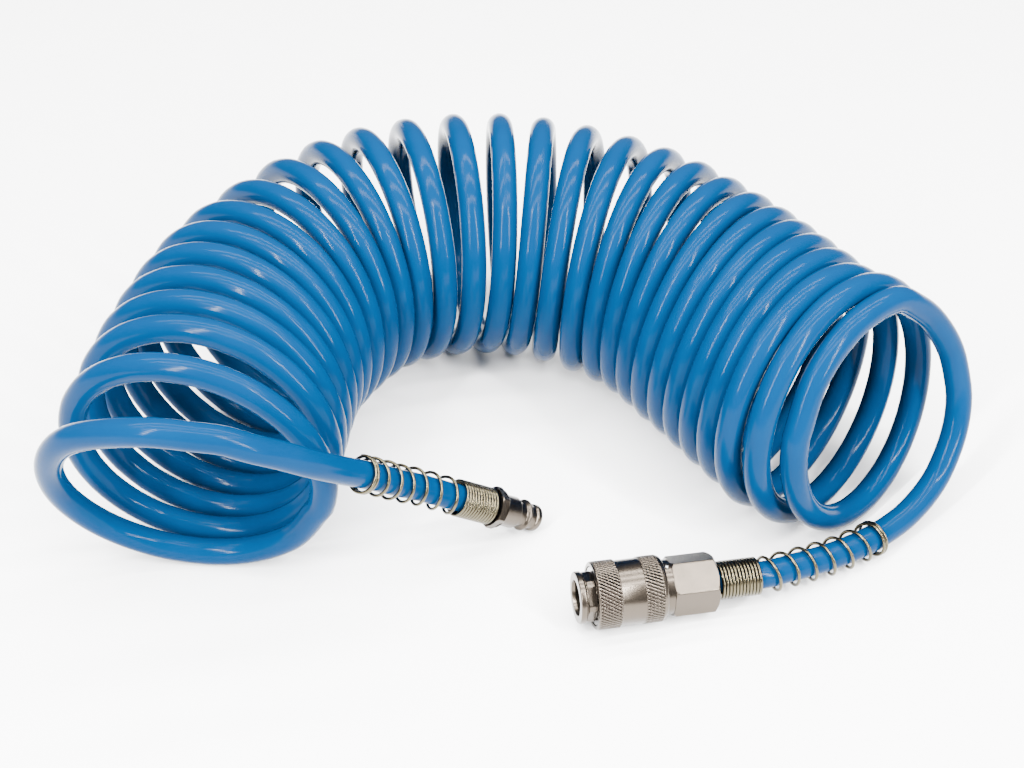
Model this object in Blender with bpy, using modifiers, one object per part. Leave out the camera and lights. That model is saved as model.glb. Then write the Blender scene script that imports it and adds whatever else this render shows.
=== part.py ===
"""Recoil air hose with a quick coupler on one end and a male plug on the other.

Units are metres, +Z is up and the floor is Z = 0. The coupler lies along +X, with its mouth facing -X
and its hose end tipped down by less than two degrees. The hose is wound into a left-handed coil that
lies on its side in a wide U, open towards -Y. The origin is on the floor, under the middle of the two
metal fittings and their wire guards.

Each turned piece is drawn in its fitting's own millimetres, measured along the fitting's axis from
the end that mates: the mouth of the coupler, or the tip of the plug.
"""
import math

import bmesh
import bpy
from mathutils import Matrix, Vector

MM = 0.001

# Hose
HOSE_DIAMETER = 0.010
COIL_RADIUS = 0.0456             # from a turn's centre to the middle of the hose
FIRST_TURN_RADIUS = 0.0472
LAST_TURN_RADIUS = 0.0433
END_TURNS = 1.5                  # how many turns the radius takes to ease in at each end
TURNS = 28
START_ANGLE = math.radians(18.6)  # where on its ring the hose is at each whole turn
COIL_SOLID_TURNS = (0.9, 26.95)   # the stretch that the coil's plain solid stands for

# The coil's path: turn number, x and y in mm, the way the ring faces and how far it leans, in degrees
STATIONS = [
    (0, -154.0, 17.5, 73.5, -18.5),
    (1, -148.0, 38.0, 71.0, -7.0),
    (3.5, -136.5, 73.5, 60.5, -1.0),
    (7, -114.5, 117.5, 45.0, 1.5),
    (10.5, -69.5, 156.0, 16.5, -1.0),
    (14, -13.5, 157.5, -6.5, 3.5),
    (17.5, 32.5, 125.0, -31.5, 2.5),
    (21, 56.0, 84.0, -46.0, 5.0),
    (24.5, 71.0, 45.5, -52.0, 1.5),
    (26, 78.5, 27.0, -55.5, -4.0),
    (27, 89.0, 20.0, -56.0, -7.0),
    (28, 103.5, 14.5, -61.5, -11.0),
]

# The hose between the coil and each fitting, in mm
PLUG_TAIL = [
    (-188.5, 14.0, 82.5), (-162.5, -3.0, 95.0), (-148.0, -6.5, 93.5), (-139.0, -7.0, 91.0),
    (-130.0, -7.0, 86.0), (-121.0, -5.0, 80.0), (-111.5, -1.5, 72.0), (-101.5, 4.5, 62.5),
    (-94.5, 9.5, 55.5), (-87.0, 14.0, 48.5), (-80.0, 18.0, 41.5), (-73.0, 21.0, 36.0),
    (-66.0, 22.5, 31.0),
]
COUPLER_TAIL = [
    (114.0, 29.5, 83.5), (122.0, 31.5, 76.0), (129.0, 31.5, 66.5), (133.0, 31.0, 59.0),
    (135.5, 29.0, 50.5), (137.0, 25.5, 40.0), (135.0, 20.5, 29.0), (129.5, 14.0, 20.0),
    (124.5, 9.5, 14.5), (117.0, 4.0, 10.5), (108.5, -1.5, 8.2), (99.0, -6.5, 7.3),
    (90.5, -10.5, 7.4), (82.5, -13.5, 7.6), (74.5, -16.0, 7.9), (66.0, -18.2, 8.5),
    (57.0, -20.5, 9.5),
]

# Fittings
COUPLER_MOUTH = Vector((-0.02375, -0.0232, 0.0129))
PLUG_TIP = Vector((-0.0268, 0.0304, 0.0039))
COUPLER_PITCH = math.radians(-1.74)  # how far the hose end is raised
PLUG_HEADING = math.radians(11.3)  # the way the tip points, seen from above
PLUG_PITCH = math.radians(34)    # how far the tip points down
COUPLER_LENGTH = 67.6            # mouth to the end of the close-wound barrel, in mm
PLUG_LENGTH = 39.0
SLEEVE_TRAVEL = 2.5
BALL_Z = 9.0                     # the locking balls, from the mouth
BALL_RADIUS = 1.75
BALL_REST = 7.05                 # a ball's centre from the axis while the sleeve is forward
BALL_TRAVEL = 0.9
BALL_COUNT = 4
BALL_RAMP = BALL_TRAVEL / SLEEVE_TRAVEL
WIRE_RADIUS = 0.6
GUARD_COIL_RADIUS = 6.5          # from the hose's middle to the guard wire's middle
COUPLER_GUARD = (54.5, 7)        # open stretch along the hose in mm, turns
PLUG_GUARD = (48.0, 7)
GAP = 0.3                        # between pieces that touch on the real object, in mm
TURNED_STEPS = 24

FINISHES = {
    "hose_blue": ((0.02, 0.30, 0.62), 0.0, 0.18),
    "nickel": ((0.62, 0.57, 0.52), 1.0, 0.28),
    "spring_steel": ((0.45, 0.43, 0.40), 1.0, 0.35),
    "zinc_wire": ((0.55, 0.54, 0.40), 1.0, 0.30),
    "black_rubber": ((0.02, 0.02, 0.02), 0.0, 0.60),
    "brass": ((0.70, 0.52, 0.25), 1.0, 0.32),
}


def clear_scene():
    for item in list(bpy.data.objects):
        bpy.data.objects.remove(item, do_unlink=True)


def new_collection(name):
    made = bpy.data.collections.new(name)
    bpy.context.scene.collection.children.link(made)
    return made


def finish_of(name):
    found = bpy.data.materials.get(name)
    if found:
        return found
    colour, metallic, roughness = FINISHES[name]
    made = bpy.data.materials.new(name)
    made.use_nodes = True
    shader = made.node_tree.nodes["Principled BSDF"]
    shader.inputs["Base Color"].default_value = (*colour, 1.0)
    shader.inputs["Metallic"].default_value = metallic
    shader.inputs["Roughness"].default_value = roughness
    return made


def add_object(name, data, finish, parent=None):
    made = bpy.data.objects.new(name, data)
    data.materials.append(finish_of(finish))
    PARTS.objects.link(made)
    made.parent = parent
    return made


def direction(heading, pitch):
    """A unit vector that points along a heading from +X, raised by a pitch."""
    return Vector((
        math.cos(heading) * math.cos(pitch), math.sin(heading) * math.cos(pitch), math.sin(pitch),
    ))


def axis_empty(name, place, inward):
    """An empty at the end of a fitting that mates, whose local Z runs into the fitting."""
    made = bpy.data.objects.new(name, None)
    made.location = place
    sideways = Vector((0, 0, 1)).cross(inward).normalized()
    downward = sideways.cross(inward)
    made.rotation_euler = Matrix((downward, sideways, inward)).transposed().to_euler()
    PARTS.objects.link(made)
    return made


def turned(name, profile, finish, parent, offset=(0, 0, 0)):
    """A profile of (radius, z) in mm turned about Z. It runs down its outer side, top to bottom."""
    mesh = bpy.data.meshes.new(name)
    verts = [(radius * MM, 0, z * MM) for radius, z in profile]
    edges = [(k, k + 1) for k in range(len(verts) - 1)]
    if profile[0][0] > 0:
        edges.append((len(verts) - 1, 0))
    mesh.from_pydata(verts, edges, [])
    made = add_object(name, mesh, finish, parent)
    made.location = offset
    screw = made.modifiers.new("turn", "SCREW")
    screw.axis = "Z"
    screw.steps = TURNED_STEPS
    screw.render_steps = TURNED_STEPS
    screw.use_merge_vertices = True
    screw.merge_threshold = 0.00001
    screw.use_smooth_shade = True
    return made


def o_ring(name, ring_radius, section_radius, z, parent):
    sides = 8
    turn = 2 * math.pi / sides
    profile = [
        (ring_radius + section_radius * math.cos(k * turn), z - section_radius * math.sin(k * turn))
        for k in range(sides)
    ]
    return turned(name, profile, "black_rubber", parent)


def smooth_curve(points, spacing):
    """Points at an even spacing along one smooth curve through the given points."""
    ends = [points[0] * 2 - points[1], *points, points[-1] * 2 - points[-2]]
    fine = []
    for before, start, stop, after in zip(ends, ends[1:], ends[2:], ends[3:]):
        pairs = ((before, start), (start, stop), (stop, after))
        spans = [math.sqrt((b - a).length) for a, b in pairs]
        slope_in = (start - before) / spans[0] - (stop - before) / (spans[0] + spans[1])
        slope_in = (slope_in + (stop - start) / spans[1]) * spans[1]
        slope_out = (stop - start) / spans[1] - (after - start) / (spans[1] + spans[2])
        slope_out = (slope_out + (after - stop) / spans[2]) * spans[1]
        for k in range(24):
            t = k / 24
            fine.append(
                start * (2 * t**3 - 3 * t**2 + 1) + slope_in * (t**3 - 2 * t**2 + t)
                + stop * (3 * t**2 - 2 * t**3) + slope_out * (t**3 - t**2)
            )
    fine.append(points[-1])
    return even_points(fine, spacing)


def even_points(fine, spacing):
    lengths = [0.0]
    for a, b in zip(fine, fine[1:]):
        lengths.append(lengths[-1] + (b - a).length)
    count = max(2, round(lengths[-1] / spacing))
    found = []
    at = 0
    for k in range(count + 1):
        wanted = lengths[-1] * k / count
        while at < len(fine) - 2 and lengths[at + 1] < wanted:
            at += 1
        share = (wanted - lengths[at]) / (lengths[at + 1] - lengths[at])
        found.append(fine[at].lerp(fine[at + 1], min(1.0, share)))
    return found


def tube_curve(name, points, radius, resolution=2):
    curve = bpy.data.curves.new(name, "CURVE")
    curve.dimensions = "3D"
    curve.bevel_depth = radius
    curve.bevel_resolution = resolution
    curve.use_fill_caps = True
    spline = curve.splines.new("POLY")
    spline.points.add(len(points) - 1)
    for point, place in zip(spline.points, points):
        point.co = (*place, 1.0)
    return curve


def as_mesh(curve_object):
    """Turns a curve object into a closed mesh object of the same name, so that it can be joined."""
    name = curve_object.name
    parent = curve_object.parent
    place = curve_object.matrix_basis.copy()
    ready = curve_object.evaluated_get(bpy.context.evaluated_depsgraph_get())
    mesh = bpy.data.meshes.new_from_object(ready)
    bpy.data.objects.remove(curve_object, do_unlink=True)
    shape = bmesh.new()
    shape.from_mesh(mesh)
    bmesh.ops.remove_doubles(shape, verts=shape.verts, dist=0.000001)
    shape.to_mesh(mesh)
    shape.free()
    made = bpy.data.objects.new(name, mesh)
    PARTS.objects.link(made)
    made.parent = parent
    made.matrix_basis = place
    return made


def boolean(target, other, operation):
    cut = target.modifiers.new(operation.lower(), "BOOLEAN")
    cut.operation = operation
    cut.solver = "EXACT"
    cut.object = other


def as_cutter(made):
    for collection in list(made.users_collection):
        collection.objects.unlink(made)
    CUTTERS.objects.link(made)
    made.hide_render = True
    made.display_type = "WIRE"
    return made


def cutter_box(name, size, centre, turn, parent):
    """A box, in mm, whose centre is at (radius, z) once it is turned about the fitting's axis."""
    bpy.ops.mesh.primitive_cube_add(size=MM)
    made = bpy.context.active_object
    made.name = name
    made.data.transform(Matrix.Diagonal((*size, 1.0)))
    made.parent = parent
    made.location = (centre[0] * MM * math.cos(turn), centre[0] * MM * math.sin(turn), centre[1] * MM)
    made.rotation_euler = (0, 0, turn)
    return as_cutter(made)


def cutter_drill(name, radius, reach, z, turn, parent):
    """A round bar, in mm, that runs out from the fitting's axis at a height z."""
    depth = (reach[1] - reach[0]) * MM
    bpy.ops.mesh.primitive_cylinder_add(vertices=16, radius=radius * MM, depth=depth)
    made = bpy.context.active_object
    made.name = name
    middle = (reach[0] + reach[1]) / 2
    made.parent = parent
    made.location = (middle * MM * math.cos(turn), middle * MM * math.sin(turn), z * MM)
    made.rotation_euler = (0, math.pi / 2, turn)
    return as_cutter(made)


def cut_flats(target, across, z_range, first_turn, parent):
    """Six flats, as a spanner needs, between two heights of a turned piece."""
    depth = 4.0
    for k in range(6):
        turn = first_turn + k * math.pi / 3
        size = (depth, 2 * across, z_range[1] - z_range[0])
        centre = (across / 2 + depth / 2, sum(z_range) / 2)
        flat = cutter_box(f"cut_{target.name}_flat_{k + 1}", size, centre, turn, parent)
        boolean(target, flat, "DIFFERENCE")


def spring(name, coil_radius, wire_radius, z_range, turns, finish, parent):
    points_per_turn = 12
    count = round(turns * points_per_turn)
    points = []
    for k in range(count + 1):
        angle = 2 * math.pi * k / points_per_turn
        z = z_range[0] + wire_radius + (z_range[1] - z_range[0] - 2 * wire_radius) * k / count
        points.append(Vector((coil_radius * math.cos(angle), coil_radius * math.sin(angle), z)) * MM)
    return add_object(name, tube_curve(name, points, wire_radius * MM), finish, parent)


def ball(name, radius, place, parent):
    mesh = bpy.data.meshes.new(name)
    shape = bmesh.new()
    bmesh.ops.create_uvsphere(shape, u_segments=12, v_segments=6, radius=radius * MM)
    shape.to_mesh(mesh)
    shape.free()
    mesh.shade_smooth()
    made = add_object(name, mesh, "spring_steel", parent)
    made.location = Vector(place) * MM
    return made


# The coil

def eased(turn):
    """The coil's radius at a turn number."""
    if turn < END_TURNS:
        return FIRST_TURN_RADIUS + (COIL_RADIUS - FIRST_TURN_RADIUS) * turn / END_TURNS
    if turn > TURNS - END_TURNS:
        return COIL_RADIUS + (LAST_TURN_RADIUS - COIL_RADIUS) * (turn - TURNS + END_TURNS) / END_TURNS
    return COIL_RADIUS


def station_slopes():
    rates = []
    for a, b in zip(STATIONS, STATIONS[1:]):
        rates.append([(q - p) / (b[0] - a[0]) for p, q in zip(a, b)])
    slopes = [rates[0]]
    for k in range(1, len(STATIONS) - 1):
        before = STATIONS[k][0] - STATIONS[k - 1][0]
        after = STATIONS[k + 1][0] - STATIONS[k][0]
        slopes.append([
            (p * after + q * before) / (before + after) for p, q in zip(rates[k - 1], rates[k])
        ])
    slopes.append(rates[-1])
    return slopes


def ring_at(turn):
    """The centre, the two axes and the radius of the ring that the hose follows at a turn number."""
    k = max(n for n in range(len(STATIONS) - 1) if STATIONS[n][0] <= turn or n == 0)
    start, stop = STATIONS[k], STATIONS[k + 1]
    span = stop[0] - start[0]
    t = (turn - start[0]) / span
    x, y, face, lean = (
        start[n] * (2 * t**3 - 3 * t**2 + 1) + SLOPES[k][n] * span * (t**3 - 2 * t**2 + t)
        + stop[n] * (3 * t**2 - 2 * t**3) + SLOPES[k + 1][n] * span * (t**3 - t**2)
        for n in range(1, 5)
    )
    face, lean = math.radians(face), math.radians(lean)
    radius = eased(turn)
    across = Vector((-math.sin(face), math.cos(face), 0))
    upward = Vector((math.sin(lean) * math.cos(face), math.sin(lean) * math.sin(face), math.cos(lean)))
    centre = Vector((x * MM, y * MM, radius * math.cos(lean) + HOSE_DIAMETER / 2))
    return centre, across, upward, radius


def coil_point(turn):
    centre, across, upward, radius = ring_at(turn)
    angle = START_ANGLE - 2 * math.pi * turn
    return centre + radius * (math.cos(angle) * across + math.sin(angle) * upward)


def make_hose_coil():
    """The coil's outer shape: a closed loft through leaning rings, which no curve or primitive gives."""
    sides = 24
    first, last = COIL_SOLID_TURNS
    rings = 26
    shape = bmesh.new()
    loops = []
    for k in range(rings + 1):
        centre, across, upward, radius = ring_at(first + (last - first) * k / rings)
        outer = radius + HOSE_DIAMETER / 2
        loops.append([
            shape.verts.new(
                centre + outer * (math.cos(2 * math.pi * n / sides) * across
                                  + math.sin(2 * math.pi * n / sides) * upward))
            for n in range(sides)
        ])
    for near, far in zip(loops, loops[1:]):
        for n in range(sides):
            after = (n + 1) % sides
            shape.faces.new((near[n], near[after], far[after], far[n]))
    shape.faces.new(reversed(loops[0]))
    shape.faces.new(loops[-1])
    bmesh.ops.recalc_face_normals(shape, faces=shape.faces)
    mesh = bpy.data.meshes.new("hose_coil")
    shape.to_mesh(mesh)
    shape.free()
    return add_object("hose_coil", mesh, "hose_blue")


def fitting_point(axis, z):
    return axis.matrix_world @ Vector((0, 0, z * MM))


def plug_tail_route():
    start = [coil_point(k / 12) for k in range(6, -1, -1)]
    end = [fitting_point(PLUG_AXIS, z) for z in (PLUG_LENGTH + 3, PLUG_LENGTH)]
    return start + [Vector(p) * MM for p in PLUG_TAIL] + end


def coupler_tail_route():
    start = [coil_point(TURNS + k / 12) for k in range(-5, -1)]
    end = [fitting_point(COUPLER_AXIS, z) for z in (COUPLER_LENGTH + 3, COUPLER_LENGTH)]
    return start + [Vector(p) * MM for p in COUPLER_TAIL] + end


def make_hose_tail(name, route):
    points = smooth_curve(route, 0.8 * HOSE_DIAMETER)
    return add_object(name, tube_curve(name, points, HOSE_DIAMETER / 2, resolution=3), "hose_blue")


# The coupler, z in mm from its mouth

def make_coupler_body():
    profile = [
        (8.5, 34.0), (8.5, 28.2), (8.8, 28.2), (8.8, 6.8), (8.2, 6.8), (8.2, 5.8), (8.9, 5.8), (8.9, 2.9),
        (8.4, 2.8), (8.4, 2.5), (9.1, 2.35), (9.4, 1.9), (9.4, 0.4), (9.1, 0.0), (6.5, 0.0), (6.1, 1.2),
        (6.1, 14.4), (7.95, 14.4), (7.95, 16.8), (5.4, 16.8), (5.4, 18.4), (7.0, 18.4), (7.0, 34.0),
    ]
    body = turned("coupler_body", profile, "nickel", COUPLER_AXIS)
    cut_flats(body, 16.4, (2.85, 5.85), math.radians(46), COUPLER_AXIS)
    for k in range(BALL_COUNT):
        name = f"cut_ball_hole_{k + 1}"
        drill = cutter_drill(name, BALL_RADIUS + 0.15, (4, 12), BALL_Z, ball_turn(k), COUPLER_AXIS)
        boolean(body, drill, "DIFFERENCE")


def ball_turn(k):
    return 2 * math.pi * k / BALL_COUNT


def make_locking_balls():
    for k in range(BALL_COUNT):
        turn = ball_turn(k)
        place = (BALL_REST * math.cos(turn), BALL_REST * math.sin(turn), BALL_Z)
        ball(f"locking_ball_{k + 1}", BALL_RADIUS, place, COUPLER_AXIS)


def make_sleeve():
    """The sleeve's land holds the balls in; the ramp in front of it lets them out as it slides back."""
    land = BALL_REST + BALL_RADIUS + GAP
    shoulder_z, land_z = 6.9, BALL_Z + GAP
    profile = [
        (10.7, 31.2), (11.2, 31.2), (11.6, 30.7), (12.0, 29.6), (12.0, 23.1), (11.7, 23.0), (11.7, 14.3),
        (12.2, 14.2), (12.2, 6.2), (11.8, 5.8), (10.6, 5.8), (10.6, shoulder_z),
        (land + BALL_RAMP * (land_z - shoulder_z), shoulder_z), (land, land_z), (land, 11.2), (10.7, 11.2),
    ]
    turned("coupler_sleeve", profile, "nickel", COUPLER_AXIS)


def make_snap_ring():
    profile = [(8.5, 6.6), (10.3, 6.6), (10.3, 6.1), (8.5, 6.1)]
    ring = turned("sleeve_snap_ring", profile, "spring_steel", COUPLER_AXIS)
    gap = cutter_box("cut_snap_ring_gap", (4, 1.6, 3), (9.5, 6.35), math.radians(200), COUPLER_AXIS)
    boolean(ring, gap, "DIFFERENCE")


def make_valve():
    poppet = turned("valve_poppet", [
        (0, 22.2), (6.2, 22.2), (6.5, 21.9), (6.5, 20.2), (4.6, 20.2), (4.6, 11.9), (4.2, 11.5), (3.2, 11.5),
        (3.2, 19.5), (0, 19.5),
    ], "brass", COUPLER_AXIS)
    for k in range(2):
        turn = k * math.pi / 2
        port = cutter_box(f"cut_poppet_port_{k + 1}", (14, 2.4, 2.6), (0, 16.9), turn, COUPLER_AXIS)
        boolean(poppet, port, "DIFFERENCE")
    seal = [(4.9, 19.9), (6.6, 19.9), (6.6, 18.7), (4.9, 18.7)]
    turned("valve_seal", seal, "black_rubber", COUPLER_AXIS)
    spring("valve_spring", 5.0, 0.45, (22.5, 35.0), 4.5, "spring_steel", COUPLER_AXIS)


def barb_profile(top, peaks, base):
    """The outer side of a hose barb, top to bottom, down to the face at base."""
    profile = [(2.4, top), (3.0, top)]
    for peak in peaks:
        profile += [(3.9, peak), (3.4, peak - 0.3)]
    return profile + [(3.4, base)]


def make_coupler_adapter():
    """The hexagon that the body screws into, with the neck under the sleeve and the barb."""
    profile = barb_profile(66.6, (63.2, 59.2, 55.2), 50.4) + [
        (9.8, 50.4), (11.25, 49.3), (11.25, 34.9), (10.4, 33.9), (9.9, 33.9), (9.9, 28.6), (8.8, 28.6),
        (8.8, 35.3), (2.4, 35.3),
    ]
    adapter = turned("coupler_adapter", profile, "nickel", COUPLER_AXIS)
    cut_flats(adapter, 19.5, (33.7, 50.6), math.radians(32), COUPLER_AXIS)
    pocket = cutter_drill("cut_neck_pocket", 1.15, (8, 12), 32.5, math.pi, COUPLER_AXIS)
    boolean(adapter, pocket, "DIFFERENCE")
    ball("neck_ball", 1.0, (-9.55, 0, 32.5), COUPLER_AXIS)


def make_coupler():
    make_coupler_body()
    make_locking_balls()
    make_sleeve()
    make_snap_ring()
    spring("sleeve_spring", 9.75, 0.6, (11.5, 28.3), 4, "spring_steel", COUPLER_AXIS)
    o_ring("socket_seal", 6.75, 0.9, 15.6, COUPLER_AXIS)
    make_valve()
    gasket = [(7.2, 35.0), (8.4, 35.0), (8.4, 34.3), (7.2, 34.3)]
    turned("body_gasket", gasket, "black_rubber", COUPLER_AXIS)
    make_coupler_adapter()


# The plug, z in mm from its tip

def make_plug():
    profile = barb_profile(37.4, (34.4, 30.4, 26.6), 22.1) + [
        (7.6, 22.1), (8.1, 21.6), (8.1, 19.3), (7.6, 18.8), (6.0, 18.8), (6.0, 11.4), (4.6, 10.8),
        (4.6, 7.6), (6.0, 7.0), (6.0, 6.2), (4.5, 5.6), (4.5, 2.8), (5.1, 2.4), (5.1, 0.7), (4.4, 0.0),
        (3.4, 0.0), (3.4, 4.0), (2.4, 5.0),
    ]
    plug = turned("plug_nipple", profile, "nickel", PLUG_AXIS)
    cut_flats(plug, 14.0, (18.6, 22.3), 0, PLUG_AXIS)


# The wire guards: a close-wound barrel on the fitting and open turns along the hose

def wound_around(path, coil_radius, turns, points_per_turn):
    """Points of a wire that winds around a path at a constant distance."""
    count = turns * points_per_turn
    centres = even_points(path, sum((b - a).length for a, b in zip(path, path[1:])) / count)
    side = Vector((0, 0, 1))
    wire = []
    for k, centre in enumerate(centres):
        ahead = (centres[min(k + 1, count)] - centres[max(k - 1, 0)]).normalized()
        side = (side - ahead * side.dot(ahead)).normalized()
        angle = 2 * math.pi * k / points_per_turn
        wire.append(centre + coil_radius * (math.cos(angle) * side + math.sin(angle) * ahead.cross(side)))
    return wire


def make_guard(name, axis, barrel, route, open_turns):
    """Route runs from the coil to the fitting, so its last points are at the barrel."""
    outer, inner = GUARD_COIL_RADIUS + WIRE_RADIUS, 5.6
    profile = [(inner, barrel[1]), (outer, barrel[1]), (outer, barrel[0]), (inner, barrel[0])]
    made = turned(name, profile, "zinc_wire", axis)
    length, turns = open_turns
    path = smooth_curve(route, 0.001)[::-1]
    path = path[: round(length * MM / 0.001) + 1]
    inside = fitting_point(axis, barrel[1] - 1.5)
    points = wound_around([inside, *path[2:]], (GUARD_COIL_RADIUS - 0.1) * MM, turns, 8)
    wire = bpy.data.objects.new(f"{name}_wire", tube_curve(f"{name}_wire", points, WIRE_RADIUS * MM))
    PARTS.objects.link(wire)
    boolean(made, as_cutter(as_mesh(wire)), "UNION")


clear_scene()
PARTS = new_collection("recoil_air_hose")
CUTTERS = new_collection("cutters")
SLOPES = station_slopes()
COUPLER_AXIS = axis_empty("coupler_axis", COUPLER_MOUTH, direction(0, COUPLER_PITCH))
PLUG_AXIS = axis_empty("plug_axis", PLUG_TIP, -direction(PLUG_HEADING, -PLUG_PITCH))
bpy.context.view_layer.update()

COUPLER_ROUTE = coupler_tail_route()
PLUG_ROUTE = plug_tail_route()

make_hose_coil()
make_hose_tail("hose_plug_tail", PLUG_ROUTE)
make_hose_tail("hose_coupler_tail", COUPLER_ROUTE)
make_coupler()
make_plug()
make_guard("coupler_bend_guard", COUPLER_AXIS, (51.0, COUPLER_LENGTH), COUPLER_ROUTE, COUPLER_GUARD)
make_guard("plug_bend_guard", PLUG_AXIS, (22.4, PLUG_LENGTH), PLUG_ROUTE, PLUG_GUARD)
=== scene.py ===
"""Looks of a blue recoil air hose with a quick coupler and a plug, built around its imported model.

Units are metres, +Z is up and the floor is Z = 0. The hose is one solid round bar at its full length,
without its bore. The wire guards and springs are real windings, and the coupler and the plug are
turned forms with their knurls, flats, grooves and rounded edges in the mesh. Fitting sizes are in
millimetres along the fitting's axis, from the coupler's mouth or from the plug's tip.
"""
import math

import bpy
import numpy as np
from mathutils import Matrix, Vector


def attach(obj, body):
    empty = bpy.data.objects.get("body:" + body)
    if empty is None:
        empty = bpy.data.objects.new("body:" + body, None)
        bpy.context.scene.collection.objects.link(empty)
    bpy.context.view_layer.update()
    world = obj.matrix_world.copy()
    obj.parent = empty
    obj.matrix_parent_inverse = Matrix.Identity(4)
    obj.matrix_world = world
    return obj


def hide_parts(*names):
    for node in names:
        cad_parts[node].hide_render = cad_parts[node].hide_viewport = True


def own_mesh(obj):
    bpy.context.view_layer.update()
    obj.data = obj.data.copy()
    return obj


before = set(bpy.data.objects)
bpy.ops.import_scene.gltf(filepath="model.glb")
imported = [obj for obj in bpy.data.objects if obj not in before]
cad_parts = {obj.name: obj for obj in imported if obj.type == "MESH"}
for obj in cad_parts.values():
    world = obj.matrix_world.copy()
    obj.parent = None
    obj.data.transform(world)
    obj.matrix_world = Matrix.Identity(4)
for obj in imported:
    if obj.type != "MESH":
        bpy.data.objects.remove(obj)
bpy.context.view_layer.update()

MM = 0.001

# Camera: what it looks at, how far it stands, and its angle
CAMERA_TARGET = Vector((-0.0330, 0.0485, 0.0500))
CAMERA_DISTANCE = 0.632
CAMERA_ELEVATION = math.radians(38)
CAMERA_AZIMUTH = math.radians(11.53)
CAMERA_LENS = 59.73
CAMERA_SHIFT = (0.00225, 0.0120)

# Hose
HOSE_DIAMETER = 0.010
COIL_RADIUS = 0.0456             # from a turn's centre to the middle of the hose
FIRST_TURN_RADIUS = 0.0472
LAST_TURN_RADIUS = 0.0433
END_TURNS = 1.5                  # how many turns the radius takes to ease in at each end
TURNS = 28
START_ANGLE = math.radians(18.6)
POINTS_PER_TURN = 48
PLUG_TAIL_SHARE = 6              # twelfths of a turn that each tail takes over from the coil
COUPLER_TAIL_SHARE = 5
TAIL_STEP = 0.003                # spacing of the points along the tails and the whole hose
HOSE_STEP = 0.004
HOSE_SIDES = 28

# The coil's path: turn number, x and y in mm, the way the ring faces and how far it leans, in degrees
STATIONS = np.array([
    (0, -154.0, 17.5, 73.5, -18.5),
    (1, -148.0, 38.0, 71.0, -7.0),
    (3.5, -136.5, 73.5, 60.5, -1.0),
    (7, -114.5, 117.5, 45.0, 1.5),
    (10.5, -69.5, 156.0, 16.5, -1.0),
    (14, -13.5, 157.5, -6.5, 3.5),
    (17.5, 32.5, 125.0, -31.5, 2.5),
    (21, 56.0, 84.0, -46.0, 5.0),
    (24.5, 71.0, 45.5, -52.0, 1.5),
    (26, 78.5, 27.0, -55.5, -4.0),
    (27, 89.0, 20.0, -56.0, -7.0),
    (28, 103.5, 14.5, -61.5, -11.0),
])

# The hose between the coil and each fitting, in mm
PLUG_TAIL = [
    (-188.5, 14.0, 82.5), (-162.5, -3.0, 95.0), (-148.0, -6.5, 93.5), (-139.0, -7.0, 91.0),
    (-130.0, -7.0, 86.0), (-121.0, -5.0, 80.0), (-111.5, -1.5, 72.0), (-101.5, 4.5, 62.5),
    (-94.5, 9.5, 55.5), (-87.0, 14.0, 48.5), (-80.0, 18.0, 41.5), (-73.0, 21.0, 36.0),
    (-66.0, 22.5, 31.0),
]
COUPLER_TAIL = [
    (114.0, 29.5, 83.5), (122.0, 31.5, 76.0), (129.0, 31.5, 66.5), (133.0, 31.0, 59.0),
    (135.5, 29.0, 50.5), (137.0, 25.5, 40.0), (135.0, 20.5, 29.0), (129.5, 14.0, 20.0),
    (124.5, 9.5, 14.5), (117.0, 4.0, 10.5), (108.5, -1.5, 8.2), (99.0, -6.5, 7.3),
    (90.5, -10.5, 7.4), (82.5, -13.5, 7.6), (74.5, -16.0, 7.9), (66.0, -18.2, 8.5),
    (57.0, -20.5, 9.5),
]

# Fittings: places in metres, lengths in mm
COUPLER_MOUTH = Vector((-0.02375, -0.0232, 0.0129))
COUPLER_PITCH = math.radians(-1.74)  # how far the hose end is raised; below zero it lies lower
COUPLER_LENGTH = 67.6
PLUG_TIP = Vector((-0.0268, 0.0304, 0.0039))
PLUG_HEADING = math.radians(11.3)
PLUG_PITCH = math.radians(34)
PLUG_LENGTH = 39.0
HOSE_START_IN_PLUG = 23.2        # where the hose ends: it is solid, so it overlaps the barbs
HOSE_START_IN_COUPLER = 51.8
SLEEVE_SPRING = (11.5, 28.3)     # where each spring starts and ends
VALVE_SPRING = (22.5, 35.0)
BALL_Z = 9.0
BALL_RADIUS = 1.75
BALL_REST = 7.05
BALL_COUNT = 4
NECK_BALL_RADIUS = 1.0
NECK_BALL_CENTRE = (-9.55, 0, 32.5)
EDGE_SOFTNESS = 0.06             # how far the edges between flats are rounded
FLAT_REACH = 0.4                 # how far inside the flats a surface may lie and still be cut

# Knurl on the sleeve
KNURL_LINES = 58
KNURL_COLUMNS = 8 * KNURL_LINES
KNURL_DEPTH = 0.32
KNURL_FADE = 0.25                # how far from a band's end the lines start to run out
KNURL_SKIN = 0.3                 # how deep below the band's radius a surface may lie and be cut

# Wire guards and springs
WIRE_RADIUS = 0.6
WIRE_SIDES = 12
WIRE_STEPS = 32                  # points in each turn of wire
GUARD_RADIUS = 6.45              # from the hose's middle to the guard wire's middle
GUARD_STEP = 0.0005
TOUCHING_PITCH = 2.05 * WIRE_RADIUS

# Studio
WORLD_COLOUR = (1.0, 0.97, 0.94, 1.0)
WORLD_STRENGTH = 0.6
FLOOR_SIZE = 8
STRIP_SIZE = (0.06, 0.9)
STRIP_POWER = 60
OVERHEAD_SIZE = (2.4, 0.14)
OVERHEAD_POWER = 62
OVERHEAD_HEIGHT = 1.3
OVERHEAD_ROWS = (-0.45, 0.05, 0.55)


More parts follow.
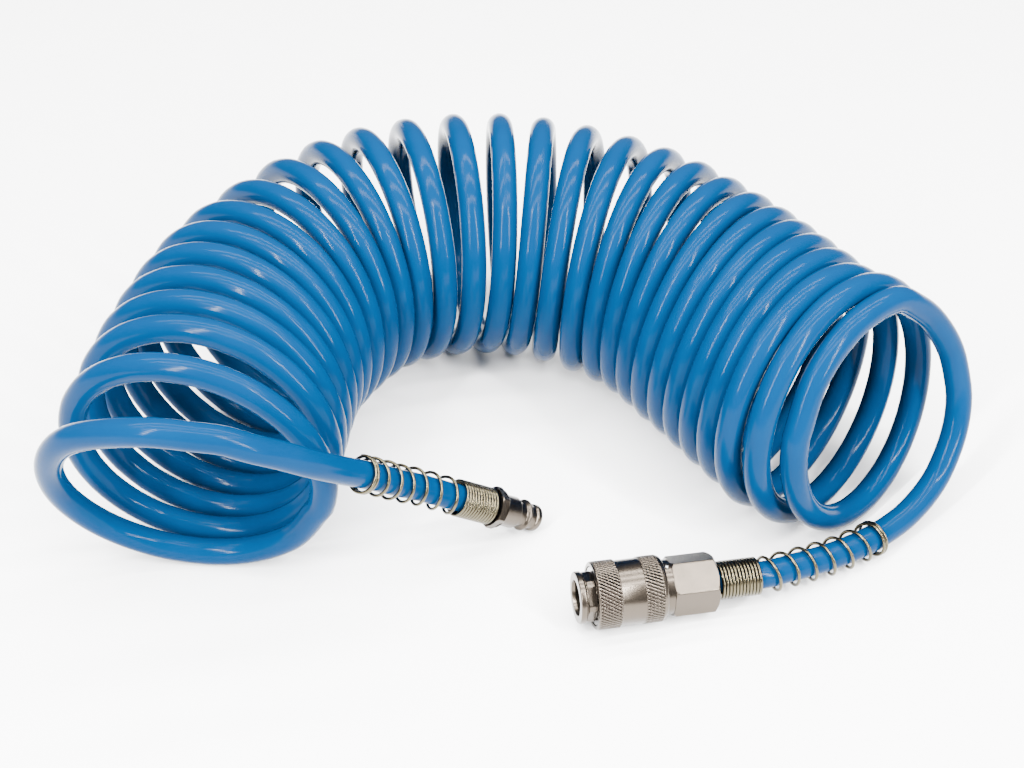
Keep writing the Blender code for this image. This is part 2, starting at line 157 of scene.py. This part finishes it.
def direction(heading, pitch):
    """A unit vector that points along a heading from +X, raised by a pitch."""
    return Vector((
        math.cos(heading) * math.cos(pitch), math.sin(heading) * math.cos(pitch), math.sin(pitch),
    ))


def fitting_matrix(place, inward):
    """Maps a fitting's millimetres to the scene: its Z runs from the end that mates into the hose."""
    sideways = Vector((0, 0, 1)).cross(inward).normalized()
    downward = sideways.cross(inward)
    turn = Matrix((downward, sideways, inward)).transposed().to_4x4()
    return Matrix.Translation(place) @ turn @ Matrix.Scale(MM, 4)


COUPLER = fitting_matrix(COUPLER_MOUTH, direction(0, COUPLER_PITCH))
PLUG = fitting_matrix(PLUG_TIP, -direction(PLUG_HEADING, -PLUG_PITCH))


# Curves

def hermite(start, stop, slope_in, slope_out, t):
    return (
        start * (2 * t**3 - 3 * t**2 + 1) + slope_in * (t**3 - 2 * t**2 + t)
        + stop * (3 * t**2 - 2 * t**3) + slope_out * (t**3 - t**2)
    )


def even_points(points, spacing):
    """Points at an even spacing along a fine polyline."""
    along = np.r_[0, np.cumsum(np.linalg.norm(np.diff(points, axis=0), axis=1))]
    wanted = np.linspace(0, along[-1], max(2, round(along[-1] / spacing)) + 1)
    return np.stack([np.interp(wanted, along, points[:, k]) for k in range(3)], axis=1)


def smooth_curve(points, spacing):
    """Points at an even spacing along one smooth curve through the given points."""
    points = np.asarray(points, dtype=float)
    ends = np.vstack([points[0] * 2 - points[1], points, points[-1] * 2 - points[-2]])
    t = np.linspace(0, 1, 24, endpoint=False)[:, None]
    fine = []
    for before, start, stop, after in zip(ends, ends[1:], ends[2:], ends[3:]):
        pairs = ((before, start), (start, stop), (stop, after))
        spans = [math.sqrt(np.linalg.norm(b - a)) for a, b in pairs]
        slope_in = (start - before) / spans[0] - (stop - before) / (spans[0] + spans[1])
        slope_in = (slope_in + (stop - start) / spans[1]) * spans[1]
        slope_out = (stop - start) / spans[1] - (after - start) / (spans[1] + spans[2])
        slope_out = (slope_out + (after - stop) / spans[2]) * spans[1]
        fine.append(hermite(start, stop, slope_in, slope_out, t))
    return even_points(np.vstack([*fine, points[-1:]]), spacing)


def station_slopes():
    gaps = np.diff(STATIONS[:, 0])[:, None]
    rates = np.diff(STATIONS, axis=0) / gaps
    inner = (rates[:-1] * gaps[1:] + rates[1:] * gaps[:-1]) / (gaps[:-1] + gaps[1:])
    return np.vstack([rates[:1], inner, rates[-1:]])


def coil_points(turns):
    """The middle of the hose at each turn number."""
    slopes = station_slopes()
    k = np.clip(np.searchsorted(STATIONS[:, 0], turns, side="right") - 1, 0, len(STATIONS) - 2)
    start, stop = STATIONS[k], STATIONS[k + 1]
    span = (stop[:, 0] - start[:, 0])[:, None]
    t = (turns - start[:, 0])[:, None] / span
    found = hermite(start, stop, slopes[k] * span, slopes[k + 1] * span, t)
    face, lean = np.radians(found[:, 3]), np.radians(found[:, 4])
    radius = np.interp(
        turns, [0, END_TURNS, TURNS - END_TURNS, TURNS],
        [FIRST_TURN_RADIUS, COIL_RADIUS, COIL_RADIUS, LAST_TURN_RADIUS],
    )
    height = radius * np.cos(lean) + HOSE_DIAMETER / 2
    centre = np.stack([found[:, 1] * MM, found[:, 2] * MM, height], axis=1)
    across = np.stack([-np.sin(face), np.cos(face), 0 * face], axis=1)
    upward = np.stack(
        [np.sin(lean) * np.cos(face), np.sin(lean) * np.sin(face), np.cos(lean)], axis=1)
    angle = START_ANGLE - 2 * np.pi * turns
    ring = np.cos(angle)[:, None] * across + np.sin(angle)[:, None] * upward
    return centre + radius[:, None] * ring


def fitting_point(matrix, z):
    return np.array(matrix @ Vector((0, 0, z)))


def plug_tail_route():
    """From the coil's first half turn to the plug's barrel."""
    start = coil_points(np.arange(PLUG_TAIL_SHARE, -1, -1) / 12)
    end = [fitting_point(PLUG, z) for z in (PLUG_LENGTH + 3, PLUG_LENGTH)]
    return np.vstack([start, np.array(PLUG_TAIL) * MM, end])


def coupler_tail_route():
    """From the coil's last half turn to the coupler's barrel."""
    start = coil_points(TURNS + np.arange(-COUPLER_TAIL_SHARE, -1) / 12)
    end = [fitting_point(COUPLER, z) for z in (COUPLER_LENGTH + 3, COUPLER_LENGTH)]
    return np.vstack([start, np.array(COUPLER_TAIL) * MM, end])


def carried_frames(points):
    """Directions along a path, and two sides that turn with it as little as they can."""
    ahead = np.gradient(points, axis=0)
    ahead /= np.linalg.norm(ahead, axis=1)[:, None]
    side = np.cross(ahead[0], (0.0, 0.0, 1.0))
    if np.linalg.norm(side) < 0.1:
        side = np.cross(ahead[0], (0.0, 1.0, 0.0))
    sides = []
    for heading in ahead:
        side = side - heading * side.dot(heading)
        side /= np.linalg.norm(side)
        sides.append(side)
    sides = np.array(sides)
    return ahead, sides, np.cross(ahead, sides)


# Meshes

def grid_faces(rows, columns, closed_rows):
    """Quads between rows of points that each run once around."""
    last = rows if closed_rows else rows - 1
    row, column = np.meshgrid(np.arange(last), np.arange(columns), indexing="ij")
    after_row, after_column = (row + 1) % rows, (column + 1) % columns
    corners = (row * columns + column, row * columns + after_column,
               after_row * columns + after_column, after_row * columns + column)
    return np.stack([corner.ravel() for corner in corners], axis=1).tolist()


def new_piece(name, points, faces, material, values=None, sharp_degrees=40):
    """A mesh piece, with one number per vertex stored under each name in values."""
    mesh = bpy.data.meshes.new(name)
    mesh.from_pydata(points.tolist(), [], faces)
    for key, numbers in (values or {}).items():
        layer = mesh.attributes.new(key, "FLOAT", "POINT")
        layer.data.foreach_set("value", np.asarray(numbers, dtype=np.float32).ravel())
    mesh.shade_smooth()
    mesh.set_sharp_from_angle(angle=math.radians(sharp_degrees))
    mesh.materials.append(material)
    made = bpy.data.objects.new(name, mesh)
    bpy.context.scene.collection.objects.link(made)
    return made


def tube(name, path, radius, sides, material, sharp_degrees=60):
    """A round bar along a path, with flat ends."""
    ahead, side, other = carried_frames(path)
    angle = 2 * np.pi * np.arange(sides) / sides
    x, y = np.cos(angle)[None, :, None], np.sin(angle)[None, :, None]
    ring = x * side[:, None] + y * other[:, None]
    points = (path[:, None] + radius * ring).reshape(-1, 3)
    faces = grid_faces(len(path), sides, closed_rows=False)
    faces.append(list(range(sides))[::-1])
    faces.append([(len(path) - 1) * sides + k for k in range(sides)])
    along = np.r_[0, np.cumsum(np.linalg.norm(np.diff(path, axis=0), axis=1))]
    values = {"along": np.repeat(along / MM, sides), "around": np.tile(angle, len(path))}
    return new_piece(name, points, faces, material, values, sharp_degrees)


def rounded(profile, radius, steps=3):
    """The same closed outline with each corner rounded off."""
    corners = np.array(profile, dtype=float)
    found = []
    for k, corner in enumerate(corners):
        before, after = corners[k - 1], corners[(k + 1) % len(corners)]
        back, ahead = before - corner, after - corner
        reach = min(radius, 0.42 * np.linalg.norm(back), 0.42 * np.linalg.norm(ahead))
        first = corner + back / np.linalg.norm(back) * reach
        last = corner + ahead / np.linalg.norm(ahead) * reach
        for t in np.linspace(0, 1, steps + 1):
            found.append(first * (1 - t)**2 + corner * 2 * t * (1 - t) + last * t**2)
    return np.array(found)


def divided(profile, z_range, step):
    """The outline with points no further apart than step on its outer side between two heights."""
    found = []
    for k, start in enumerate(profile):
        stop = profile[(k + 1) % len(profile)]
        found.append(start)
        outer = start[1] > stop[1]
        if outer and max(start[1], stop[1]) > z_range[0] and min(start[1], stop[1]) < z_range[1]:
            count = int(abs(stop[1] - start[1]) // step)
            found += [start + (stop - start) * (n + 1) / (count + 1) for n in range(count)]
    return np.array(found)


def turned(name, profile, matrix, material, columns=120, shape=None, edge=0.15, detail=()):
    """A closed outline of (radius, z) in mm turned about Z. It runs down its outer side.

    shape takes (radius, z, angle) and returns a new radius and how deep the point lies in a groove,
    which also sets the painted shade in the metal's colour.
    """
    outline = rounded(profile, edge)
    for z_range, step in detail:
        outline = divided(outline, z_range, step)
    angle = 2 * np.pi * np.arange(columns) / columns
    radius = np.repeat(outline[:, :1], columns, axis=1)
    height = np.repeat(outline[:, 1:], columns, axis=1)
    turn = np.repeat(angle[None], len(outline), axis=0)
    groove_shade_depth = np.zeros_like(radius)
    if shape:
        radius, groove_shade_depth = shape(radius, height, turn)
    x, y = radius * np.cos(turn), radius * np.sin(turn)
    points = np.stack([x, y, height, np.ones_like(turn)], axis=-1)
    points = points.reshape(-1, 4) @ np.array(matrix).T
    faces = grid_faces(len(outline), columns, closed_rows=True)
    # The groove depth is stored for the material, which darkens the colour there as painted shade.
    values = {"axial": height, "around": turn, "groove_shade_depth": groove_shade_depth}
    return new_piece(name, points[:, :3], faces, material, values)


def soft_min(values, softness):
    return -softness * np.log(sum(np.exp(-value / softness) for value in values))


def flats(across, z_range, first_turn):
    """A shape with six flats between two heights, whose edges are slightly rounded."""
    def shape(radius, height, turn):
        sides = [radius]
        for k in range(6):
            facing = np.cos(turn - first_turn - k * np.pi / 3)
            sides.append(np.where(facing > 0.5, across / 2 / np.maximum(facing, 0.5), across))
        cut = soft_min(sides, EDGE_SOFTNESS)
        outer = radius > across / 2 - FLAT_REACH
        inside = (height > z_range[0]) & (height < z_range[1]) & outer
        return np.where(inside, np.minimum(radius, cut), radius), np.zeros_like(radius)
    return shape


def triangle_wave(value):
    return 1 - np.abs(2 * (value - np.floor(value)) - 1)


def knurled(bands):
    """A shape with crossed lines cut into bands of (lowest z, highest z, outer radius, slope).

    The lines that run one way are wide and deep. Those that cross them are narrow and half as deep.
    """
    def shape(radius, height, turn):
        groove_shade_depth = np.zeros_like(radius)
        for low, high, outer, slope in bands:
            pitch = 2 * np.pi * outer / KNURL_LINES
            one_way = triangle_wave((turn * outer - height * slope) / pitch)
            other_way = triangle_wave((turn * outer + height * slope) / pitch)
            wide = np.clip(1.5 - 3 * one_way, 0, 1)
            narrow = np.clip(0.5 - 1.5 * other_way, 0, 1)
            depth = np.maximum(wide, narrow)
            inside = (height > low) & (height < high) & (radius > outer - KNURL_SKIN)
            fade = np.clip(np.minimum(height - low, high - height) / KNURL_FADE, 0, 1)
            groove_shade_depth = np.where(inside, depth * fade, groove_shade_depth)
        # The groove depth shapes the cut and also darkens the metal's colour there as painted shade.
        return radius - KNURL_DEPTH * groove_shade_depth, groove_shade_depth
    return shape


# Materials

def new_material(name, colour, metallic, roughness, settings=None):
    made = bpy.data.materials.new(name)
    made.use_nodes = True
    shader = made.node_tree.nodes["Principled BSDF"]
    shader.inputs["Base Color"].default_value = (*colour, 1.0)
    shader.inputs["Metallic"].default_value = metallic
    shader.inputs["Roughness"].default_value = roughness
    for key, value in (settings or {}).items():
        shader.inputs[key].default_value = value
    return made, made.node_tree, shader


def add_node(tree, kind, settings=None, inputs=None):
    made = tree.nodes.new(kind)
    for key, value in (settings or {}).items():
        setattr(made, key, value)
    for key, value in (inputs or {}).items():
        if isinstance(value, bpy.types.NodeSocket):
            tree.links.new(value, made.inputs[key])
        else:
            made.inputs[key].default_value = value
    return made


def noise(tree, vector, scale, detail=3.0, roughness=0.55):
    inputs = {"Vector": vector, "Scale": scale, "Detail": detail, "Roughness": roughness}
    return add_node(tree, "ShaderNodeTexNoise", inputs=inputs).outputs["Fac"]


def ramp(tree, value, low, high):
    """Maps 0..1 to between two numbers."""
    inputs = {"Value": value, "To Min": low, "To Max": high}
    return add_node(tree, "ShaderNodeMapRange", inputs=inputs).outputs["Result"]


def colour_mix(tree, factor, first, second):
    made = add_node(tree, "ShaderNodeMix", {"data_type": "RGBA"}, {"Factor": factor})
    for socket, value in zip((made.inputs["A"], made.inputs["B"]), (first, second)):
        if isinstance(value, bpy.types.NodeSocket):
            tree.links.new(value, socket)
        else:
            socket.default_value = (*value, 1.0)
    return made.outputs["Result"]


def bump(tree, shader, height, distance, strength):
    inputs = {"Height": height, "Distance": distance, "Strength": strength}
    made = add_node(tree, "ShaderNodeBump", inputs=inputs)
    tree.links.new(made.outputs["Normal"], shader.inputs["Normal"])


def object_place(tree):
    return add_node(tree, "ShaderNodeTexCoord").outputs["Object"]


def stored(tree, name):
    return add_node(tree, "ShaderNodeAttribute", {"attribute_name": name}).outputs["Fac"]


def arithmetic(tree, operation, first, second):
    made = add_node(tree, "ShaderNodeMath", {"operation": operation}, {0: first, 1: second})
    return made.outputs["Value"]


def times(tree, value, factor):
    return arithmetic(tree, "MULTIPLY", value, factor)


def joined(tree, x, y):
    return add_node(tree, "ShaderNodeCombineXYZ", inputs={"X": x, "Y": y}).outputs["Vector"]


def hose_material():
    """Glossy polyurethane, slightly cloudy, with faint streaks from extrusion."""
    made, tree, shader = new_material("hose_polyurethane", (0.0002, 0.018, 0.057), 0.0, 0.14, {
        "IOR": 1.3, "Specular IOR Level": 0.07,
    })
    place = object_place(tree)
    cloud = noise(tree, place, 45.0)
    base = colour_mix(tree, cloud, (0.0001, 0.015, 0.048), (0.0002, 0.020, 0.064))
    tree.links.new(base, shader.inputs["Base Color"])
    around = times(tree, stored(tree, "around"), 6.0)
    along = times(tree, stored(tree, "along"), 0.015)
    streaks = noise(tree, joined(tree, around, along), 2.5, detail=4.0)
    tree.links.new(ramp(tree, streaks, 0.09, 0.18), shader.inputs["Roughness"])
    bump(tree, shader, streaks, 0.0001, 0.25)
    return made


def metal_material(name, light, dark, roughness, marks=0.25):
    """Plated metal with fine turning marks around its axis, and painted shade that darkens its grooves.
    """
    made, tree, shader = new_material(name, light, 1.0, roughness)
    axial = times(tree, stored(tree, "axial"), 14.0)
    around = times(tree, stored(tree, "around"), 0.35)
    rings = noise(tree, joined(tree, axial, around), 1.0, detail=2.0)
    stains = noise(tree, object_place(tree), 160.0, detail=4.0)
    plate = colour_mix(tree, stains, light, tuple(0.88 * c for c in light))
    # Painted shade: the colour goes towards the dark colour with the depth of the knurl grooves.
    base = colour_mix(tree, stored(tree, "groove_shade_depth"), plate, dark)
    tree.links.new(base, shader.inputs["Base Color"])
    spread = times(tree, arithmetic(tree, "ADD", rings, stains), 0.5)
    tree.links.new(ramp(tree, spread, roughness * 0.7, roughness * 1.4), shader.inputs["Roughness"])
    bump(tree, shader, rings, 0.00003, marks)
    return made


def wire_material(name, light, dark, roughness):
    """Drawn wire whose plating changes a little along it."""
    made, tree, shader = new_material(name, light, 1.0, roughness)
    along, around = stored(tree, "along"), stored(tree, "around")
    plating = noise(tree, joined(tree, times(tree, along, 0.12), around), 1.3)
    tree.links.new(colour_mix(tree, plating, light, dark), shader.inputs["Base Color"])
    tree.links.new(ramp(tree, plating, roughness * 0.7, roughness * 1.5), shader.inputs["Roughness"])
    drawn = noise(tree, joined(tree, times(tree, around, 5.0), times(tree, along, 0.1)), 3.0)
    bump(tree, shader, drawn, 0.00002, 0.3)
    return made


def rubber_material():
    made, tree, shader = new_material("seal_rubber", (0.018, 0.018, 0.018), 0.0, 0.6)
    grain = noise(tree, object_place(tree), 1800.0, detail=2.0)
    tree.links.new(ramp(tree, grain, 0.48, 0.72), shader.inputs["Roughness"])
    base = colour_mix(tree, grain, (0.012, 0.012, 0.012), (0.03, 0.03, 0.03))
    tree.links.new(base, shader.inputs["Base Color"])
    bump(tree, shader, grain, 0.00002, 0.4)
    return made


def floor_material():
    made, tree, shader = new_material("studio_paper", (0.9, 0.9, 0.9), 0.0, 0.7)
    grain = noise(tree, object_place(tree), 30.0)
    base = colour_mix(tree, grain, (0.88, 0.88, 0.88), (0.91, 0.91, 0.91))
    tree.links.new(base, shader.inputs["Base Color"])
    return made


# Pieces of the hose and its fittings

def place(piece, body, slot, *nodes):
    """Attaches a piece to the body it rides on and hides the model's nodes that it stands for. slot is
    not used.
    """
    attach(piece, body)
    for node in nodes:
        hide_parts(node)
    return piece


def make_hose(material):
    turns = np.linspace(0, TURNS, TURNS * POINTS_PER_TURN + 1)[1:-1]
    plug_end = smooth_curve(plug_tail_route(), TAIL_STEP)
    coupler_end = smooth_curve(coupler_tail_route(), TAIL_STEP)
    coil = coil_points(turns)
    coil = coil[(turns > PLUG_TAIL_SHARE / 12) & (turns < TURNS - COUPLER_TAIL_SHARE / 12)]
    inner_plug = fitting_point(PLUG, HOSE_START_IN_PLUG)
    inner_coupler = fitting_point(COUPLER, HOSE_START_IN_COUPLER)
    path = np.vstack([inner_plug, plug_end[::-1], coil, coupler_end, inner_coupler])
    path = even_points(path, HOSE_STEP)
    hose = tube("air_hose", path, HOSE_DIAMETER / 2, HOSE_SIDES, material)
    place(hose, "root", "hose_blue", "hose_coil", "hose_plug_tail", "hose_coupler_tail")


def make_guard(name, matrix, barrel, route, open_turns, end_turns, material):
    """One wire: a close-wound barrel on the fitting, open turns along the hose and closed end turns.

    barrel is its first and last height and its turns; open_turns are a length in mm and the turns.
    """
    first_z, last_z, barrel_turns = barrel
    open_length, open_count = open_turns
    straight = [fitting_point(matrix, z) for z in (first_z, first_z + 4, first_z + 8)]
    route = smooth_curve(route, GUARD_STEP)[::-1]
    path = even_points(np.vstack([straight, route]), GUARD_STEP)
    ahead, side, other = carried_frames(path)
    along = np.r_[0, np.cumsum(np.linalg.norm(np.diff(path, axis=0), axis=1))] / MM
    knots = np.cumsum([0, barrel_turns, open_count, end_turns])
    reach = np.cumsum([0, last_z - first_z, open_length, end_turns * TOUCHING_PITCH])
    turns = np.arange(0, knots[-1], 1 / WIRE_STEPS)
    wanted = np.interp(turns, knots, reach)
    centre = np.stack([np.interp(wanted, along, path[:, k]) for k in range(3)], axis=1)
    first = np.stack([np.interp(wanted, along, side[:, k]) for k in range(3)], axis=1)
    second = np.stack([np.interp(wanted, along, other[:, k]) for k in range(3)], axis=1)
    angle = (2 * np.pi * turns)[:, None]
    wire = centre + GUARD_RADIUS * MM * (np.cos(angle) * first + np.sin(angle) * second)
    piece = tube(name, wire, WIRE_RADIUS * MM, WIRE_SIDES, material)
    place(piece, "root", "zinc_wire", name.replace("_wire", ""))


def make_spring(name, node, body, coil_radius, wire_radius, z_range, turns, material):
    angle = np.linspace(0, 2 * np.pi * turns, round(turns * WIRE_STEPS) + 1)
    low, high = z_range[0] + wire_radius, z_range[1] - wire_radius
    height = low + (high - low) * angle / angle[-1]
    x, y = coil_radius * np.cos(angle), coil_radius * np.sin(angle)
    local = np.stack([x, y, height, np.ones_like(angle)], axis=1)
    path = (local @ np.array(COUPLER).T)[:, :3]
    spring = tube(name, path, wire_radius * MM, WIRE_SIDES, material)
    return place(spring, body, "spring_steel", node)


def squash_spring(spring):
    """Gives the spring a mesh of its own."""
    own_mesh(spring)


def barb_profile(top, peaks, base):
    profile = [(2.4, top), (3.0, top)]
    for peak in peaks:
        profile += [(3.9, peak), (3.4, peak - 0.3)]
    return profile + [(3.4, base)]


def make_coupler_body(material):
    """The body in one turn: the holes for the locking balls are not cut, so the balls cross its wall."""
    profile = [
        (8.5, 34.0), (8.5, 28.2), (8.8, 28.2), (8.8, 6.8), (8.2, 6.8), (8.2, 5.8), (8.9, 5.75),
        (8.9, 2.95), (8.4, 2.8), (8.4, 2.5), (9.1, 2.35), (9.4, 1.9), (9.4, 0.4), (9.1, 0.0), (6.5, 0.0),
        (6.1, 1.2), (6.1, 14.4), (7.95, 14.4), (7.95, 16.8), (5.4, 16.8), (5.4, 18.4), (7.0, 18.4),
        (7.0, 34.0),
    ]
    cut = flats(16.4, (2.7, 5.8), math.radians(46))
    body = turned(
        "body_turned", profile, COUPLER, material, 240, cut, 0.15, [((2.7, 5.8), 0.15)])
    place(body, "root", "nickel", "coupler_body")


def make_sleeve(material):
    profile = [
        (10.7, 31.2), (11.2, 31.2), (11.6, 30.7), (12.0, 29.6), (12.0, 23.1), (11.7, 22.95),
        (11.7, 14.35), (12.2, 14.2), (12.2, 6.2), (11.8, 5.8), (10.6, 5.8), (10.6, 6.9), (9.96, 6.9),
        (9.1, 9.3), (9.1, 11.2), (10.7, 11.2),
    ]
    bands = [(6.25, 14.15, 12.2, 0.62), (23.15, 29.55, 12.0, 0.5)]
    detail = [((6.2, 14.2), 0.16), ((23.1, 29.6), 0.16)]
    sleeve = turned(
        "sleeve_knurled", profile, COUPLER, material, KNURL_COLUMNS, knurled(bands), 0.12, detail)
    place(sleeve, "sleeve", "nickel", "coupler_sleeve")


def make_adapter(material):
    profile = barb_profile(66.6, (63.2, 59.2, 55.2), 50.4) + [
        (9.8, 50.4), (11.25, 49.3), (11.25, 34.9), (10.4, 33.9), (9.9, 33.9), (9.9, 28.6), (8.8, 28.6),
        (8.8, 35.3), (2.4, 35.3),
    ]
    cut = flats(19.5, (33.9, 50.4), math.radians(32))
    detail = [((33.8, 36.0), 0.12), ((48.3, 50.4), 0.12), ((36.0, 48.3), 2.0)]
    adapter = turned(
        "adapter_hexagon", profile, COUPLER, material, 360, cut, 0.15, detail)
    place(adapter, "root", "nickel", "coupler_adapter")


def make_plug(material):
    profile = barb_profile(37.4, (34.4, 30.4, 26.6), 22.1) + [
        (7.6, 22.1), (8.1, 21.6), (8.1, 19.3), (7.6, 18.8), (6.0, 18.8), (6.0, 11.4), (4.6, 10.8),
        (4.6, 7.6), (6.0, 7.0), (6.0, 6.2), (4.5, 5.6), (4.5, 2.8), (5.1, 2.4), (5.1, 0.7), (4.4, 0.0),
        (3.4, 0.0), (3.4, 4.0), (2.4, 5.0),
    ]
    cut = flats(14.0, (18.8, 22.1), 0.0)
    plug = turned(
        "plug_turned", profile, PLUG, material, 360, cut, 0.25, [((18.7, 22.2), 0.12)])
    place(plug, "root", "nickel", "plug_nipple")


def make_ball(name, node, body, radius, centre, material):
    sides, rows = 32, 17
    around = 2 * np.pi * np.arange(sides) / sides
    down = np.pi * (np.arange(rows) + 0.5) / rows
    x = radius * np.sin(down)[:, None] * np.cos(around)[None] + centre[0]
    y = radius * np.sin(down)[:, None] * np.sin(around)[None] + centre[1]
    z = np.repeat((radius * np.cos(down) + centre[2])[:, None], sides, axis=1)
    points = np.stack([x, y, z, np.ones_like(x)], axis=-1).reshape(-1, 4) @ np.array(COUPLER).T
    faces = [face[::-1] for face in grid_faces(rows, sides, closed_rows=False)]
    faces += [list(range(sides)), [(rows - 1) * sides + k for k in range(sides)][::-1]]
    turn = np.repeat(around[None], rows, axis=0)
    values = {"axial": z, "around": turn, "groove_shade_depth": np.zeros_like(z)}
    ball = new_piece(name, points[:, :3], faces, material, values)
    place(ball, body, "spring_steel", node)


def make_balls(material):
    for k in range(BALL_COUNT):
        turn = 2 * math.pi * k / BALL_COUNT
        centre = (BALL_REST * math.cos(turn), BALL_REST * math.sin(turn), BALL_Z)
        node = f"locking_ball_{k + 1}"
        make_ball(f"ball_{k + 1}", node, node, BALL_RADIUS, centre, material)
    make_ball("ball_in_neck", "neck_ball", "root", NECK_BALL_RADIUS, NECK_BALL_CENTRE, material)


def make_valve(brass, rubber):
    poppet = turned("valve_turned", [
        (0.01, 22.2), (6.2, 22.2), (6.5, 21.9), (6.5, 20.2), (4.6, 20.2), (4.6, 11.9), (4.2, 11.5),
        (3.2, 11.5), (3.2, 19.5), (0.01, 19.5),
    ], COUPLER, brass, 96)
    place(poppet, "valve", "brass", "valve_poppet")
    outline = [(4.9, 19.9), (6.6, 19.9), (6.6, 18.7), (4.9, 18.7)]
    seal = turned("valve_ring", outline, COUPLER, rubber, 96)
    place(seal, "valve", "black_rubber", "valve_seal")


def make_seals(rubber):
    sides, ring_radius, ring_z, thickness = 20, 6.75, 15.6, 0.9
    turns = [2 * math.pi * k / sides for k in range(sides)]
    outline = [
        (ring_radius + thickness * math.cos(turn), ring_z - thickness * math.sin(turn)) for turn in turns
    ]
    seal = turned("socket_o_ring", outline, COUPLER, rubber, 96, edge=0.02)
    place(seal, "root", "black_rubber", "socket_seal")
    outline = [(7.2, 35.0), (8.4, 35.0), (8.4, 34.3), (7.2, 34.3)]
    gasket = turned("gasket_ring", outline, COUPLER, rubber, 96)
    place(gasket, "root", "black_rubber", "body_gasket")


# Camera and studio

def camera():
    data = bpy.data.cameras.new("camera")
    data.sensor_width = 36
    data.lens = CAMERA_LENS
    data.shift_x, data.shift_y = CAMERA_SHIFT
    made = bpy.data.objects.new("camera", data)
    back = Vector((
        -math.sin(CAMERA_AZIMUTH) * math.cos(CAMERA_ELEVATION),
        -math.cos(CAMERA_AZIMUTH) * math.cos(CAMERA_ELEVATION),
        math.sin(CAMERA_ELEVATION),
    ))
    made.location = CAMERA_TARGET + back * CAMERA_DISTANCE
    made.rotation_euler = back.to_track_quat("Z", "Y").to_euler()
    bpy.context.scene.collection.objects.link(made)
    bpy.context.scene.camera = made


def softbox(name, place_at, target, size, power):
    data = bpy.data.lights.new(name, "AREA")
    data.shape = "RECTANGLE"
    data.size, data.size_y = size
    data.energy = power
    made = bpy.data.objects.new(name, data)
    made.location = place_at
    made.rotation_euler = (Vector(place_at) - Vector(target)).to_track_quat("Z", "Y").to_euler()
    bpy.context.scene.collection.objects.link(made)


def studio():
    bpy.ops.mesh.primitive_plane_add(size=FLOOR_SIZE)
    floor = bpy.context.active_object
    floor.name = "floor"
    floor.data.materials.append(floor_material())
    world = bpy.data.worlds.new("studio")
    bpy.context.scene.world = world
    world.use_nodes = True
    background = world.node_tree.nodes["Background"]
    background.inputs["Color"].default_value = WORLD_COLOUR
    background.inputs["Strength"].default_value = WORLD_STRENGTH
    softbox("left_strip", (-0.75, -0.55, 0.75), (-0.05, 0.05, 0.05), STRIP_SIZE, STRIP_POWER)
    softbox("right_strip", (0.55, -0.75, 0.70), (0.0, 0.05, 0.05), STRIP_SIZE, STRIP_POWER)
    for k, y in enumerate(OVERHEAD_ROWS):
        over, under = (0.0, y, OVERHEAD_HEIGHT), (0.0, 0.7 * y, 0.0)
        softbox(f"overhead_{k + 1}", over, under, OVERHEAD_SIZE, OVERHEAD_POWER)


studio()
camera()

# The base colours are darker than the real surfaces, to suit the strong narrow lights
hose_blue = hose_material()
# The second colour of each metal is the painted shade in its grooves.
nickel = metal_material("nickel_plate", (0.070, 0.058, 0.046), (0.006, 0.005, 0.004), 0.24)
steel = metal_material("ball_steel", (0.30, 0.29, 0.28), (0.08, 0.08, 0.08), 0.18)
brass = metal_material("turned_brass", (0.36, 0.25, 0.11), (0.10, 0.06, 0.02), 0.28)
zinc = wire_material("zinc_plate", (0.10, 0.088, 0.055), (0.04, 0.033, 0.02), 0.22)
spring_wire = wire_material("spring_wire", (0.25, 0.24, 0.23), (0.15, 0.14, 0.13), 0.3)
rubber = rubber_material()

make_hose(hose_blue)
make_guard(
    "coupler_bend_guard_wire", COUPLER, (51.6, 67.0, 12.25), coupler_tail_route(), (51.5, 6.5), 1.5,
    zinc,
)
make_guard(
    "plug_bend_guard_wire", PLUG, (23.0, 38.4, 12.0), plug_tail_route(), (46.5, 6.4), 1.5, zinc,
)
make_coupler_body(nickel)
make_sleeve(nickel)
make_adapter(nickel)
make_plug(nickel)
make_balls(steel)
make_valve(brass, rubber)
make_seals(rubber)
snap_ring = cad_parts["sleeve_snap_ring"]
snap_ring.data.materials.clear()
snap_ring.data.materials.append(steel)
sleeve_spring = make_spring(
    "sleeve_spring_wire", "sleeve_spring", "sleeve_spring", 9.75, 0.6, SLEEVE_SPRING, 4, spring_wire,
)
valve_spring = make_spring(
    "valve_spring_wire", "valve_spring", "root", 5.0, 0.45, VALVE_SPRING, 4.5, spring_wire,
)
squash_spring(sleeve_spring)
squash_spring(valve_spring)
